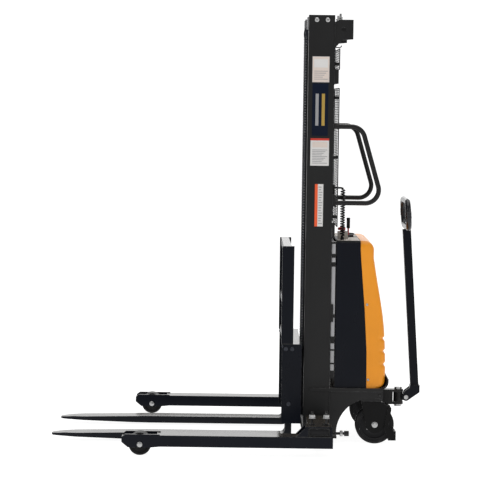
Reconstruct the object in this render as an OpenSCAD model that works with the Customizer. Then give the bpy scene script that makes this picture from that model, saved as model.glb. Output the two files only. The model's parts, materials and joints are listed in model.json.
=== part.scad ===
// Walkie stacker: a pedestrian lift truck with straddle legs and a telescopic mast.
// +X points back to the operator, -X to the fork tips, +Z up, and the floor is z = 0.
// The origin is at the middle of the footprint's box, on the floor.

/* [Mast] */
// Height of the lowered mast above the floor
mast_h = 1948; // [1800:1:2100]
// Front face of the mast
mast_x = 298; // [290:1:300]
// Depth of the outer channels, front to back
mast_d = 118; // [112:1:118]
// Half of the mast's outside width
mast_hw = 290; // [290:1:300]
// Lift of the inner mast; the forks rise twice as far
mast_stroke = 1400; // [1000:10:1400]

/* [Forks] */
// Blade length from the tip to the front of the shank
fork_len = 1065; // [1000:5:1070]
// Width of a blade
fork_w = 100; // [80:1:110]
// Thickness of a blade at the heel
fork_t = 32; // [28:1:34]
// Distance from the middle of the machine to the middle of a fork
fork_y = 248; // [220:1:262]

/* [Straddle legs] */
// Distance from the middle of the machine to the middle of a leg
leg_y = 620; // [560:1:640]
// Width of a leg
leg_w = 104; // [96:1:110]
// Height of a leg tube
leg_h = 50; // [46:1:52]
// Radius of a load wheel
load_r = 50; // [45:1:50]

/* [Rear wheels] */
// Radius of a rear wheel
rear_r = 89; // [85:1:90]
// Width of a rear tyre
rear_w = 50; // [40:1:50]
// Distance from the middle of the machine to a caster
caster_y = 240; // [230:1:242]

/* [Power pack] */
// Height of the power pack's top
pack_top = 930; // [900:1:935]
// Half of the power pack's width
pack_hw = 281; // [270:1:285]

/* [Tiller] */
// Height of the hand loop's top
tiller_top = 1118; // [1100:1:1140]
// Width of the hand loop
loop_w = 340; // [300:1:360]
// Radius of the hand loop's tube
loop_r = 13; // [11:1:14]

/* [Hidden] */

black = [0.17, 0.17, 0.18];
navy = [0.15, 0.17, 0.21];
orange = [0.93, 0.61, 0.18];
silver = [0.75, 0.76, 0.78];
rubber = [0.10, 0.10, 0.11];
red = [0.75, 0.10, 0.08];

// Left is -Y, right is +Y.
LEFT = -1;
RIGHT = 1;
SIDES = [LEFT, RIGHT];
fine = 48;
run_fit = 0.05;     // radial clearance of a pin in its bore
gap = 0.5;          // space between faces that pass each other

// Outer channels
web = 9;
flange = 10;
flange_len = 47;
mast_back = mast_x + mast_d;
base_z = 26;
base_t = 12;
channel_z = base_z + base_t;

// Inner mast: an H-section just inboard of each outer channel
inner_out = mast_hw - flange_len - 5;
inner_in = inner_out - 52;
inner_web = [inner_in + 22, inner_in + 30];
inner_x = [mast_x + 2, mast_back - 2];
inner_z = [60, mast_h - 3];
inner_flange = 10;

// Rollers
mid_x = mast_x + mast_d / 2;
big_roller_r = mast_d / 2 - flange - 1;
small_roller_r = (inner_x[1] - inner_x[0]) / 2 - inner_flange - 1;
mast_roller_z = 170;
head_roller_z = 1840;
carriage_roller_z = [165, 395];

// Chain pulleys on the inner mast's crosshead
chain_x = 292;
pulley_r = 66;
pulley_x = chain_x + pulley_r;
pulley_y = 115;
pulley_w = 24;
pulley_z = mast_h - pulley_r - 8;
pulley_rim = 5;
axle_r = 15;
chain_t = 10;
chain_w = 16;
chain_end_z = 380;
rear_chain_x = pulley_x + pulley_r;
anchor_z = 1705;

// Crossmembers behind the outer channels, and the wire guard
crossmember = [mast_back, mast_back + 12];
head_tie_x = mast_back + 20;
guard_x = 440;
guard_hw = 262;
guard_z = [[990, 1605], [1690, 1800]];

// Lift cylinder
cyl_r = 38;
cyl_bore = 30;
rod_r = 22;
cyl_top = 1720;
piston_z = 100;

// Carriage
carriage_hw = 328;
plate_t = 10;
carriage_x = [197, 286];
carriage_z = [98, 460];
fork_bar_x = [246, 276];
bar_h = 50;
upper_bar_z = 380;
lower_bar_z = 110;
post_x = [193, 247];
post_w = 28;
backrest_z = 905;
backrest_bar_z = [651, 905];
arm_y = [166, 178];

// Forks
shank_x = fork_len - 850;
shank_t = 30;
fork_z = 12;
tip_x = shank_x - fork_len;
hook_z = upper_bar_z + bar_h + 1;

// Legs
leg_z = 41;
leg_x = [-352, 419];
leg_wall = 5;
beam_x = [mast_x + 12, mast_x + 108];
beam_z = [95, 131];
sleeve_x = [beam_x[0] - 10, beam_x[1] + 10];
sleeve_top = 137;
load_x = -428;
stud_x = [328, 390];

// Deck and power pack
deck_z = 243;
deck_t = 15;
deck_top = deck_z + deck_t;
deck_back = 660;
bumper = [650, 286, 36];
pack_x = 440;
skin = 8;

// Casters
swivel_x = 598;
caster_trail = 28;
rear_x = swivel_x + caster_trail;
stem_r = 15;
caster_plate_z = [2 * rear_r + 6, 2 * rear_r + 16];
mount_z = caster_plate_z[1] + 2;
arch = [612, 50, 163];

// Brake pedal pivot, from the wheel's centre
pedal = [66, 71];
pedal_r = 4;
pad_z = [18, 60];

// Draw bracket and tiller
kingpin_x = 751;
kingpin_r = 10;
lug_z = [[148, 160], [206, 218]];
lug_r = 24;
hinge = [787, 183];
hinge_r = 6;
elbow_x = 850;
shaft_w = 38;
shaft_lean = 3.8;
shaft_foot = [828, 214];
loop_h = 150;
loop_bend = 45;

// Grab handles: the centres of the two bends, and the slant between them
handle_r = 11;
handle_y = 275;
handle_top = 1447;
handle_bend = 60;
handle_slope = [7, 24] / 25;
handle_lean = asin(handle_slope.x);
handle_slant = 235;
handle_c1 = [500, handle_top - handle_bend];
handle_p1 = handle_c1 + handle_bend * [handle_slope.y, handle_slope.x];
handle_p2 = handle_p1 + handle_slant * [handle_slope.x, -handle_slope.y];
handle_c2 = handle_p2 - handle_bend * [handle_slope.y, handle_slope.x];

// ---------- helpers ----------

// A box between two corners
module block(a, b) {
    translate([min(a.x, b.x), min(a.y, b.y), min(a.z, b.z)])
        cube([abs(b.x - a.x), abs(b.y - a.y), abs(b.z - a.z)]);
}

// A round bar along Y between two places
module bar_y(x, y, z, r) {
    translate([x, min(y[0], y[1]), z])
        rotate([-90, 0, 0])
            cylinder(r = r, h = abs(y[1] - y[0]), $fn = fine);
}

// A round bar along X between two places
module bar_x(x, y, z, r) {
    translate([min(x[0], x[1]), y, z])
        rotate([0, 90, 0])
            cylinder(r = r, h = abs(x[1] - x[0]), $fn = fine);
}

// A side view drawn as (x, z) points, made solid between two y values
module side_plate(points, y) {
    translate([0, max(y[0], y[1]), 0])
        rotate([90, 0, 0])
            linear_extrude(height = abs(y[1] - y[0])) polygon(points);
}

// A hexagon nut or bolt head standing on z = 0
module hex_nut(across, h) {
    cylinder(r = across / sqrt(3), h = h, $fn = 6);
}

// A domed bolt head on a side face, pointing out along side * Y
module dome_bolt(side, r) {
    rotate([-90 * side, 0, 0]) {
        cylinder(r = r, h = 3, $fn = fine);
        translate([0, 0, 3])
            cylinder(r = 0.7 * r, h = 3, $fn = fine);
    }
}

// ---------- chassis ----------

// Side view of the plate that joins the mast to the deck, with its wheel arch
module gusset_plate() {
    difference() {
        polygon([[mast_back, base_z], [445, base_z], [455, 38], [455, 90], [660, 90],
                 [660, deck_z], [mast_back, deck_z]]);
        translate([arch[0], arch[1]])
            circle(r = arch[2], $fn = 96);
        translate([550, 0])
            square([200, mount_z]);
    }
}

// Side view of the rubbing strip that curls up behind the deck
module bumper_section() {
    difference() {
        translate([bumper[0], bumper[1]]) {
            circle(r = bumper[2], $fn = fine);
            square([bumper[2], 14]);
        }
        translate([bumper[0], bumper[1]])
            circle(r = bumper[2] - 8, $fn = fine);
        translate([0, bumper[1]])
            square([bumper[0] + bumper[2] - 8, 100]);
        square([bumper[0], 1000]);
    }
}

module base_frame() {
    color(black)
    leg_beams();
    color(black)
    difference() {
        union() {
            block([mast_x, -mast_hw, base_z], [452, mast_hw, channel_z]);
            for (s = SIDES) {
                translate([0, s == LEFT ? 9 - mast_hw : mast_hw, 0])
                    rotate([90, 0, 0])
                        linear_extrude(height = 9) gusset_plate();
                block([mast_x + 27, s * (mast_hw + gap), deck_z],
                      [mast_back + 4, s * (mast_hw + 6), deck_top]);
                block([560, s * (caster_y - 45), mount_z], [656, s * (caster_y + 41), deck_z]);
            }
            block([mast_back, -mast_hw - 6, deck_z], [deck_back, mast_hw + 6, deck_top]);
            block([mast_back, 9 - mast_hw, 150], [mast_back + 12, mast_hw - 9, deck_z]);
            block([640, -70, 140], [deck_back + 2, 70, deck_z]);
            for (z = lug_z) {
                block([650, -lug_r, z[0]], [kingpin_x, lug_r, z[1]]);
                translate([kingpin_x, 0, z[0]])
                    cylinder(r = lug_r, h = z[1] - z[0], $fn = fine);
            }
            side_plate([[650, 148], [725, 148], [725, 218], [690, 218], [660, 200]], [-lug_r, lug_r - 40]);
            side_plate([[650, 148], [725, 148], [725, 218], [690, 218], [660, 200]], [40 - lug_r, lug_r]);
            upright(2 * mast_hw - 24)
                bumper_section();
        }
        for (s = SIDES)
            translate([swivel_x, s * caster_y, mount_z - 1])
                cylinder(r = stem_r + run_fit, h = 41, $fn = fine);
        translate([kingpin_x, 0, 100])
            cylinder(r = kingpin_r + run_fit, h = 150, $fn = fine);
    }
}

// The hollow cross beam on each side, which carries a straddle leg
module leg_beams() {
    for (s = SIDES)
        difference() {
            block([beam_x[0], s * mast_hw, beam_z[0]], [beam_x[1], s * (leg_y + 44), beam_z[1]]);
            block([beam_x[0] + 6, s * (mast_hw + 8), beam_z[0] + 6],
                  [beam_x[1] - 6, s * (leg_y + 45), beam_z[1] - 6]);
        }
}

// ---------- outer mast ----------

module outer_channel(s) {
    color(black)
    difference() {
        block([mast_x, s * (mast_hw - flange_len), channel_z], [mast_back, s * mast_hw, mast_h]);
        block([mast_x + flange, s * (mast_hw - flange_len - 1), channel_z - 1],
              [mast_back - flange, s * (mast_hw - web), mast_h + 1]);
    }
}

module outer_crossmembers() {
    color(black) {
        block([mast_back, -mast_hw, 1640], [head_tie_x, mast_hw, anchor_z]);
        block([mast_back, -mast_hw, 1085], [crossmember[1], mast_hw, 1140]);
        block([mast_back, -mast_hw, 560], [crossmember[1], mast_hw, 640]);
        block([mast_back, loom_y - 10, 1139], [crossmember[1], loom_y + 10, loom_top + 13]);
        for (s = SIDES)
            block([mast_back, s * (mast_hw - 50), 940], [429, s * mast_hw, 1010]);
        for (s = SIDES)
            for (z = [330, 405, 480, 520, 700, 800, 860, 910])
                block([mast_back, s * 262, z], [pack_x - 1, s * 280, z + 14]);
    }
}

// Two lifting lugs on the back of the head, tied by a bar that carries two threaded studs
module mast_head() {
    color(black) {
        for (s = SIDES)
            difference() {
                side_plate([[mast_back, 1800], [428, 1812], [447, 1835], [499, 1840], [499, 1928],
                            [440, 1928], [mast_back, 1918]], [s * (mast_hw - 10), s * mast_hw]);
                bar_y(457, [s * (mast_hw - 12), s * (mast_hw + 2)], 1884, 11);
            }
        difference() {
            block([434, 10 - mast_hw, 1905], [462, mast_hw - 10, 1928]);
            for (s = SIDES)
                translate([448, s * pulley_y, 1900])
                    cylinder(r = 5, h = 40, $fn = fine);
        }
    }
    color(silver)
    for (s = SIDES)
        translate([448, s * pulley_y, 1885]) {
            cylinder(r = 5, h = 77, $fn = fine);
            translate([0, 0, 43])
                hex_nut(17, 9);
            translate([0, 0, 11])
                hex_nut(17, 9);
        }
}

module body_bolts() {
    color(silver)
    for (s = SIDES) {
        for (x = [334, 383])
            translate([x, s * mast_hw, 1926])
                dome_bolt(s, 11);
        for (z = [296, 640])
            translate([z == 640 ? 582 : 592, s * pack_hw, z])
                dome_bolt(s, 5);
        translate([646, s * mast_hw, 226])
            dome_bolt(s, 6);
    }
}

module lift_cylinder() {
    color(black)
    translate([pulley_x, 0, 0])
        difference() {
            union() {
                translate([0, 0, channel_z])
                    cylinder(r = cyl_r, h = cyl_top - channel_z, $fn = fine);
                translate([0, 0, cyl_top - 40])
                    cylinder(r = cyl_r + 6, h = 40, $fn = fine);
            }
            translate([0, 0, piston_z - 20])
                cylinder(r = cyl_bore, h = cyl_top - piston_z - 5, $fn = fine);
            translate([0, 0, piston_z])
                cylinder(r = rod_r + run_fit, h = 2000, $fn = fine);
        }
}

// The three panels of the wire guard behind the mast, on short stays
module mesh_guard() {
    color(silver) {
        difference() {
            for (z = guard_z)
                block([guard_x, -guard_hw, z[0]], [guard_x + 3, guard_hw, z[1]]);
            bar_x([guard_x - 1, guard_x + 4], loom_y, loom_top, 14);
        }
        block([pack_x - 4, 2 - guard_hw, 300], [pack_x - 1, guard_hw - 2, 925]);
        for (s = SIDES)
            block([crossmember[1], s * (guard_hw - 14), 600], [pack_x - 3, s * (guard_hw - 2), 614]);
        for (s = SIDES)
            for (stay = [[mast_back, 1030], [crossmember[1], 1105], [mast_back, 1300], [mast_back, 1570],
                         [mast_back, 1722]])
                block([stay[0], s * (guard_hw - 12), stay[1]], [guard_x, s * guard_hw, stay[1] + 14]);
    }
}

// The tube runs back from the mast, turns down a slant, and returns to the mast lower down
module grab_handle(s) {
    color(black)
    translate([0, s * handle_y, 0]) {
        bar_x([mast_back, handle_c1.x], 0, handle_top, handle_r);
        translate([handle_c1.x, 0, handle_c1.y])
            bend_arc(90 - handle_lean, handle_lean);
        translate([handle_p1.x, 0, handle_p1.y])
            rotate([0, 180 - handle_lean, 0])
                cylinder(r = handle_r, h = handle_slant, $fn = fine);
        translate([handle_c2.x, 0, handle_c2.y])
            bend_arc(90 + handle_lean, -90);
        bar_x([crossmember[1], handle_c2.x], 0, handle_c2.y - handle_bend, handle_r);
        block([mast_back, -11, handle_top - 18], [mast_back + 6, 11, handle_top + 18]);
        translate([crossmember[1], 0, handle_c2.y - handle_bend])
            block([0, -11, -18], [6, 11, 18]);
    }
}

// An arc of the handle's tube in the XZ plane, turn degrees long, from angle start above +X
module bend_arc(turn, start) {
    rotate([90, 0, 0])
        rotate([0, 0, start])
            rotate_extrude(angle = turn, $fn = 96)
                translate([handle_bend, 0])
                    circle(r = handle_r, $fn = fine);
}

// ---------- power pack ----------

// Outline of the whole pack, seen from the side
module pack_outline() {
    polygon(concat(
        [[pack_x, deck_top], [648, deck_top], [663, 270], [671, 296], [670, 400], [666, 500], [659, 580],
         [649, 660], [633, 760], [619, 850]],
        [for (a = [4:10.75:90]) [575 + 32 * cos(a) + 8 * (1 - a / 90), pack_top - 32 + 32 * sin(a)]],
        [[pack_x, pack_top]]));
}

// Part of the outline that the black side panel covers
module panel_zone(grow) {
    polygon([[pack_x - 10, deck_top - 10], [584 + grow, deck_top - 10], [582 + grow, 427], [571 + grow, 610],
             [555 + grow, 800], [548 + grow, 880], [548 + grow, pack_top + 10],
             [pack_x - 10, pack_top + 10]]);
}

module upright(h) {
    rotate([90, 0, 0])
        linear_extrude(height = h, center = true) children();
}

module side_panel(s) {
    color(navy)
    translate([0, s * (pack_hw - skin / 2), 0])
        upright(skin)
            intersection() {
                pack_outline();
                panel_zone(0);
                square([2000, pack_top - skin - gap]);
            }
}

module rear_cover() {
    color(orange)
    difference() {
        upright(2 * pack_hw) pack_outline();
        upright(2 * (pack_hw - skin)) offset_in();
        upright(2 * pack_hw + 2) panel_zone(1);
    }
}

// The pack's outline, moved in by the skin at the back and the top
module offset_in() {
    intersection() {
        translate([-skin, 0])
            pack_outline();
        square([2000, pack_top - skin]);
    }
}

stop_at = [466, -165];
key_at = [477, -130];

module console() {
    color(navy)
    difference() {
        union() {
            block([pack_x, -pack_hw, pack_top - skin], [548, pack_hw, pack_top]);
            block([450, -190, pack_top], [494, -112, pack_top + 34]);
            block([478, -26, pack_top], [528, -12, pack_top + 10]);
            block([478, 12, pack_top], [528, 26, pack_top + 10]);
        }
        block([476, -12, 900], [530, 12, 960]);
        translate([stop_at.x, stop_at.y, 880])
            cylinder(r = 6 + run_fit, h = 100, $fn = fine);
        translate([key_at.x, key_at.y, 880])
            cylinder(r = 5 + run_fit, h = 100, $fn = fine);
    }
}

module battery() {
    color(black) {
        block([450, -255, deck_top], [560, -5, deck_top + 230]);
        for (y = [-200, -60])
            translate([500, y, deck_top + 230])
                cylinder(r = 9, h = 16, $fn = fine);
    }
}

module oil_tank() {
    color(black)
    block([452, 20, deck_top], [560, 250, deck_top + 350]);
}

module pump_motor() {
    color(black)
    translate([505, 135, deck_top + 350]) {
        cylinder(r = 50, h = 24, $fn = fine);
        cylinder(r = 44, h = 220, $fn = fine);
    }
}

lever_pivot = [505, 925];
grip = [45, 95];

module lift_lever() {
    translate([lever_pivot.x, 0, lever_pivot.y]) {
        color(red) {
            cylinder(r = 4, h = grip[0] + 5, $fn = fine);
            rotate([90, 0, 0])
                cylinder(r = 7, h = 20, center = true, $fn = fine);
        }
        color(rubber)
        translate([0, 0, grip[0]])
            cylinder(r = 9, h = grip[1] - grip[0], $fn = fine);
    }
}

module emergency_stop() {
    color(red)
    translate([stop_at.x, stop_at.y, pack_top + 10]) {
        cylinder(r = 6, h = 34, $fn = fine);
        translate([0, 0, 32])
            cylinder(r = 18, h = 14, $fn = fine);
    }
}

module key_switch() {
    color(silver)
    translate([key_at.x, key_at.y, pack_top + 10]) {
        cylinder(r = 5, h = 32, $fn = fine);
        translate([-10, -1.5, 28])
            cube([20, 3, 20]);
    }
}

loom_x = 466;
loom_y = -234;
loom_r = 5;
loom_top = 1168;
coil_r = 12;

// A coiled lead from the console, whose upper end goes plain into the mast
module cable_loom() {
    color(rubber) {
        translate([loom_x, loom_y, pack_top])
            cylinder(r = 9, h = 14, $fn = fine);
        translate([loom_x, loom_y, pack_top + 13])
            cylinder(r = coil_r, h = loom_top + loom_r + 3 - pack_top - 13, $fn = fine);
        translate([crossmember[1], loom_y, loom_top])
            rotate([0, 90, 0])
                cylinder(r = loom_r, h = loom_x - crossmember[1], $fn = fine);
    }
}

// ---------- straddle legs ----------

cheek = [[-340, leg_z], [-340, 95], [-492, 95], [-508, 82], [-508, 60], [-480, 37], [-380, 37]];

module leg(s) {
    y0 = leg_y - leg_w / 2;
    y1 = leg_y + leg_w / 2;
    color(navy)
    difference() {
        union() {
            difference() {
                block([leg_x[0], s * y0, leg_z], [leg_x[1], s * y1, leg_z + leg_h]);
                block([leg_x[0] + 8, s * (y0 + leg_wall), leg_z + leg_wall],
                      [leg_x[1] + 1, s * (y1 - leg_wall), leg_z + leg_h - leg_wall]);
            }
            for (y = [[y0, y0 + 10], [y1 - 10, y1]])
                side_plate(cheek, [s * y[0], s * y[1]]);
            block([-508, s * y0, 64], [-498, s * y1, 80]);
            difference() {
                block([sleeve_x[0], s * y0, leg_z + leg_h - 1], [sleeve_x[1], s * y1, sleeve_top]);
                block([beam_x[0] - 1, s * (y0 - 1), beam_z[0] - 1],
                      [beam_x[1] + 1, s * (y1 + 1), beam_z[1] + 1]);
            }
            for (y = [[y0, y0 + 8], [y1 - 8, y1]])
                side_plate([[sleeve_x[0] - 44, leg_z + leg_h - 1], [sleeve_x[0] + 1, leg_z + leg_h - 1],
                            [sleeve_x[0] + 1, sleeve_top - 2]], [s * y[0], s * y[1]]);
        }
        bar_y(load_x, [s * (y0 - 1), s * (y1 + 1)], load_r, 8);
    }
}

module clamp_studs(s) {
    for (x = stud_x)
        translate([x, s * leg_y, sleeve_top]) {
            color(black) {
                cylinder(r = 6, h = 62, $fn = fine);
                hex_nut(24, 10);
            }
            color(silver)
            translate([0, 0, 34])
                hex_nut(24, 13);
        }
    color(silver)
    translate([sleeve_x[1], s * leg_y, beam_z[0] + 7])
        rotate([0, 90, 0]) {
            cylinder(r = 8, h = 46, $fn = fine);
            translate([0, 0, 36])
                hex_nut(26, 14);
            translate([0, 0, 54])
                cylinder(r = 13, h = 20, $fn = fine);
            cylinder(r = 6, h = 60, $fn = fine);
        }
}

module load_wheel(s) {
    color(rubber)
    difference() {
        union() {
            bar_y(load_x, [s * (leg_y - 36), s * (leg_y + 36)], load_r, load_r);
            bar_y(load_x, [s * (leg_y - 39), s * (leg_y + 39)], load_r, 16);
        }
        bar_y(load_x, [s * (leg_y - 50), s * (leg_y + 50)], load_r, 8 + run_fit);
    }
}

module load_axle(s) {
    color(silver) {
        bar_y(load_x, [s * (leg_y - leg_w / 2), s * (leg_y + leg_w / 2)], load_r, 8);
        bar_y(load_x, [s * (leg_y + leg_w / 2), s * (leg_y + leg_w / 2 + 5)], load_r, 12);
        bar_y(load_x, [s * (leg_y - leg_w / 2), s * (leg_y - leg_w / 2 - 5)], load_r, 12);
    }
}

// ---------- rear casters ----------

module caster_fork(s) {
    yc = s * caster_y;
    inner = rear_w / 2 + 4;
    color(black)
    difference() {
        union() {
            translate([swivel_x, yc, caster_plate_z[0]])
                cylinder(r = 36, h = caster_plate_z[1] - caster_plate_z[0], $fn = fine);
            block([swivel_x - 34, yc - inner - 6, caster_plate_z[0]],
                  [rear_x + 34, yc + inner + 6, caster_plate_z[1]]);
            translate([swivel_x, yc, caster_plate_z[1] - 1])
                cylinder(r = stem_r, h = 38, $fn = fine);
            for (t = SIDES) {
                side_plate([[rear_x - 40, rear_r], [rear_x + 40, rear_r],
                            [rear_x + pedal[0] + 9, rear_r + pedal[1] - 8],
                            [rear_x + pedal[0] + 9, rear_r + pedal[1] + 8], [rear_x + 34, caster_plate_z[1]],
                            [swivel_x - 34, caster_plate_z[1]]], [yc + t * inner, yc + t * (inner + 6)]);
                bar_y(rear_x, [yc + t * inner, yc + t * (inner + 6)], rear_r, 40);
            }
        }
        bar_y(rear_x, [yc - 60, yc + 60], rear_r, 10);
        bar_y(rear_x + pedal[0], [yc - 60, yc + 60], rear_r + pedal[1], pedal_r + run_fit);
    }
}

module caster_axle(s) {
    yc = s * caster_y;
    reach = rear_w / 2 + 10;
    color(silver) {
        bar_y(rear_x, [yc - reach, yc + reach], rear_r, 10);
        for (t = SIDES)
            bar_y(rear_x, [yc + t * reach, yc + t * (reach + 5)], rear_r, 14);
    }
}

module rear_wheel(s) {
    yc = s * caster_y;
    color(black)
    difference() {
        union() {
            bar_y(rear_x, [yc - rear_w / 2 + 2, yc + rear_w / 2 - 2], rear_r, rear_r - 17);
            bar_y(rear_x, [yc - rear_w / 2 - 3, yc + rear_w / 2 + 3], rear_r, 22);
        }
        bar_y(rear_x, [yc - 60, yc + 60], rear_r, 10 + run_fit);
    }
}

module rear_tyre(s) {
    yc = s * caster_y;
    color(rubber)
    difference() {
        bar_y(rear_x, [yc - rear_w / 2, yc + rear_w / 2], rear_r, rear_r);
        bar_y(rear_x, [yc - 60, yc + 60], rear_r, rear_r - 17);
    }
}

module brake_pedal(s) {
    yc = s * caster_y;
    outer = rear_w / 2 + 11;
    px = rear_x + pedal[0];
    pz = rear_r + pedal[1];
    color(black) {
        for (t = SIDES)
            side_plate([[px - 8, pz + 7], [px + 7, pz + 7], [px + 7, pz - 12], [rear_x + 64, rear_r - 4],
                        [rear_x + 84, rear_r - 26], [rear_x + 97, pad_z[1]], [rear_x + 97, pad_z[0]],
                        [rear_x + 62, pad_z[0]], [rear_x + 46, rear_r - 20], [rear_x + 46, rear_r + 20]],
                       [yc + t * outer, yc + t * (outer + 4)]);
        block([rear_x + 92, yc - outer - 4, pad_z[0]], [rear_x + 97, yc + outer + 4, pad_z[1]]);
        bar_y(px, [yc - outer - 4, yc + outer + 4], pz, pedal_r);
    }
}

// ---------- tiller ----------

module kingpin() {
    color(silver)
    translate([kingpin_x, 0, 0]) {
        translate([0, 0, 138])
            cylinder(r = kingpin_r, h = 90, $fn = fine);
        translate([0, 0, lug_z[1][1]])
            hex_nut(30, 10);
        translate([0, 0, lug_z[0][0] - 10])
            hex_nut(30, 10);
    }
}

module tiller_yoke() {
    color(black)
    difference() {
        union() {
            translate([kingpin_x, 0, lug_z[0][1] + 1])
                cylinder(r = 22, h = lug_z[1][0] - lug_z[0][1] - 2, $fn = fine);
            block([kingpin_x, -14, hinge.y - 16], [hinge.x, 14, hinge.y + 14]);
            bar_y(hinge.x, [-14, 14], hinge.y, 16);
        }
        translate([kingpin_x, 0, 100])
            cylinder(r = kingpin_r + run_fit, h = 150, $fn = fine);
        bar_y(hinge.x, [-40, 40], hinge.y, hinge_r + run_fit);
    }
}

module tilt_pin() {
    color(silver) {
        bar_y(hinge.x, [-30, 30], hinge.y, hinge_r);
        for (s = SIDES)
            bar_y(hinge.x, [s * 28, s * 34], hinge.y, 10);
    }
}

// The upright bar, with the two ears that hold it on the yoke
module tiller_shaft() {
    bar_top = tiller_top - loop_h + 4;
    color(navy)
    difference() {
        union() {
            for (s = SIDES) {
                bar_y(hinge.x, [s * 16, s * 27], hinge.y, 18);
                side_plate([[hinge.x - 12, hinge.y + 13], [hinge.x + 12, hinge.y - 13], [elbow_x, 206],
                            [elbow_x, 232], [808, 232], [780, 210]], [s * 16, s * 27]);
            }
            side_plate([[800, 208], [elbow_x - 4, 208], [elbow_x, 214], [elbow_x, 240], [806, 240]],
                       [-27, 27]);
            translate([shaft_foot.x, 0, shaft_foot.y])
                rotate([0, -shaft_lean, 0])
                    block([-shaft_w / 2, -17, 0], [shaft_w / 2, 17, bar_top - shaft_foot.y]);
        }
        translate([shaft_foot.x, 0, shaft_foot.y + 40])
            rotate([0, -shaft_lean, 0])
                block([3 - shaft_w / 2, -14, 0], [shaft_w / 2 - 3, 14, bar_top - shaft_foot.y]);
        bar_y(hinge.x, [-40, 40], hinge.y, hinge_r + run_fit);
    }
}

// A closed hand loop of round tube, in a plane that leans with the shaft
module tiller_loop() {
    hw = loop_w / 2 - loop_r;
    hh = loop_h / 2 - loop_r;
    straight_y = hw - loop_bend;
    straight_z = hh - loop_bend;
    color(rubber)
    translate([hand_x, 0, tiller_top - loop_h / 2])
        rotate([0, -shaft_lean, 0]) {
            for (t = SIDES) {
                translate([0, -straight_y, t * hh])
                    rotate([-90, 0, 0])
                        cylinder(r = loop_r, h = 2 * straight_y, $fn = fine);
                translate([0, t * hw, -straight_z])
                    cylinder(r = loop_r, h = 2 * straight_z, $fn = fine);
            }
            for (a = [0:90:270])
                rotate([a, 0, 0])
                    loop_corner(a % 180 == 0 ? [straight_y, straight_z] : [straight_z, straight_y]);
        }
}

// One quarter bend of the loop, towards +Y and +Z
module loop_corner(place) {
    translate([0, place[0], place[1]])
        rotate([90, 0, 90])
            rotate_extrude(angle = 90, $fn = fine) translate([loop_bend, 0]) circle(r = loop_r, $fn = fine);
}

hand_x = shaft_foot.x - (tiller_top - loop_h / 2 - shaft_foot.y) * tan(shaft_lean);

// ---------- inner mast ----------

module inner_mast(s) {
    color(silver)
    difference() {
        block([inner_x[0], s * inner_in, inner_z[0]], [inner_x[1], s * inner_out, inner_z[1]]);
        block([inner_x[0] + inner_flange, s * (inner_in - 1), 0],
              [inner_x[1] - inner_flange, s * inner_web[0], 3000]);
        block([inner_x[0] + inner_flange, s * (inner_out + 1), 0],
              [inner_x[1] - inner_flange, s * inner_web[1], 3000]);
    }
}

module inner_crosshead() {
    color(silver) {
        bar_y(pulley_x, [-inner_web[0], inner_web[0]], pulley_z, axle_r);
        block([pulley_x - 28, -92, pulley_z - 28], [pulley_x + 28, 92, pulley_z + 28]);
        for (s = SIDES)
            block([inner_x[0] - 8, s * (inner_in + 2), mast_h - 63],
                  [inner_x[0], s * (inner_out - 2), mast_h - 8]);
    }
}

module inner_tie() {
    color(silver) {
        block([inner_x[0], -inner_in, 62], [inner_x[0] + 12, inner_in, 100]);
        block([inner_x[1] - 10, -inner_in, 62], [inner_x[1], inner_in, 100]);
    }
}

module piston_rod() {
    color(silver)
    translate([pulley_x, 0, 0]) {
        translate([0, 0, piston_z])
            cylinder(r = cyl_bore - run_fit, h = 40, $fn = fine);
        translate([0, 0, piston_z])
            cylinder(r = rod_r, h = pulley_z - 28 - piston_z, $fn = fine);
    }
}

module chain_pulleys() {
    color(silver)
    for (s = SIDES)
        difference() {
            union() {
                bar_y(pulley_x, [s * (pulley_y - 8), s * (pulley_y + 8)], pulley_z,
                      pulley_r - chain_t / 2 - 1);
                for (t = SIDES)
                    bar_y(pulley_x, [s * pulley_y + t * 8.5, s * pulley_y + t * pulley_w / 2], pulley_z,
                          pulley_r + pulley_rim);
                bar_y(pulley_x, [s * pulley_y - pulley_w / 2, s * pulley_y + pulley_w / 2], pulley_z, 26);
            }
            bar_y(pulley_x, [s * 90, s * 140], pulley_z, axle_r + run_fit);
        }
}

module front_chains() {
    color(black)
    for (s = SIDES)
        block([chain_x - chain_t / 2, s * pulley_y - chain_w / 2, chain_end_z],
              [chain_x + chain_t / 2, s * pulley_y + chain_w / 2, pulley_z]);
}

module rear_chains() {
    color(black)
    for (s = SIDES)
        block([rear_chain_x - chain_t / 2, s * pulley_y - chain_w / 2, anchor_z],
              [rear_chain_x + chain_t / 2, s * pulley_y + chain_w / 2, pulley_z]);
}

// Rollers at the foot of the inner mast, which run in the outer channels
module mast_rollers() {
    color(silver)
    for (s = SIDES) {
        bar_y(mid_x, [s * (mast_hw - 44), s * (mast_hw - 14)], mast_roller_z, big_roller_r);
        bar_y(mid_x, [s * (inner_web[1] + gap), s * (mast_hw - 44)], mast_roller_z, 14);
    }
}

// Rollers at the head of the outer mast, which run in the inner mast
module head_rollers() {
    color(silver)
    for (s = SIDES) {
        bar_y(mid_x, [s * (inner_web[1] + 2), s * (inner_out - 2)], head_roller_z, small_roller_r);
        bar_y(mid_x, [s * (inner_out - 2), s * (mast_hw - web - gap)], head_roller_z, 14);
    }
}

module carriage_rollers(z) {
    color(silver)
    for (s = SIDES) {
        bar_y(mid_x, [s * (inner_in + 1), s * (inner_web[0] - 2)], z, small_roller_r);
        bar_y(mid_x, [s * arm_y[1], s * (inner_in + 1)], z, 14);
    }
}

// ---------- carriage and forks ----------

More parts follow.
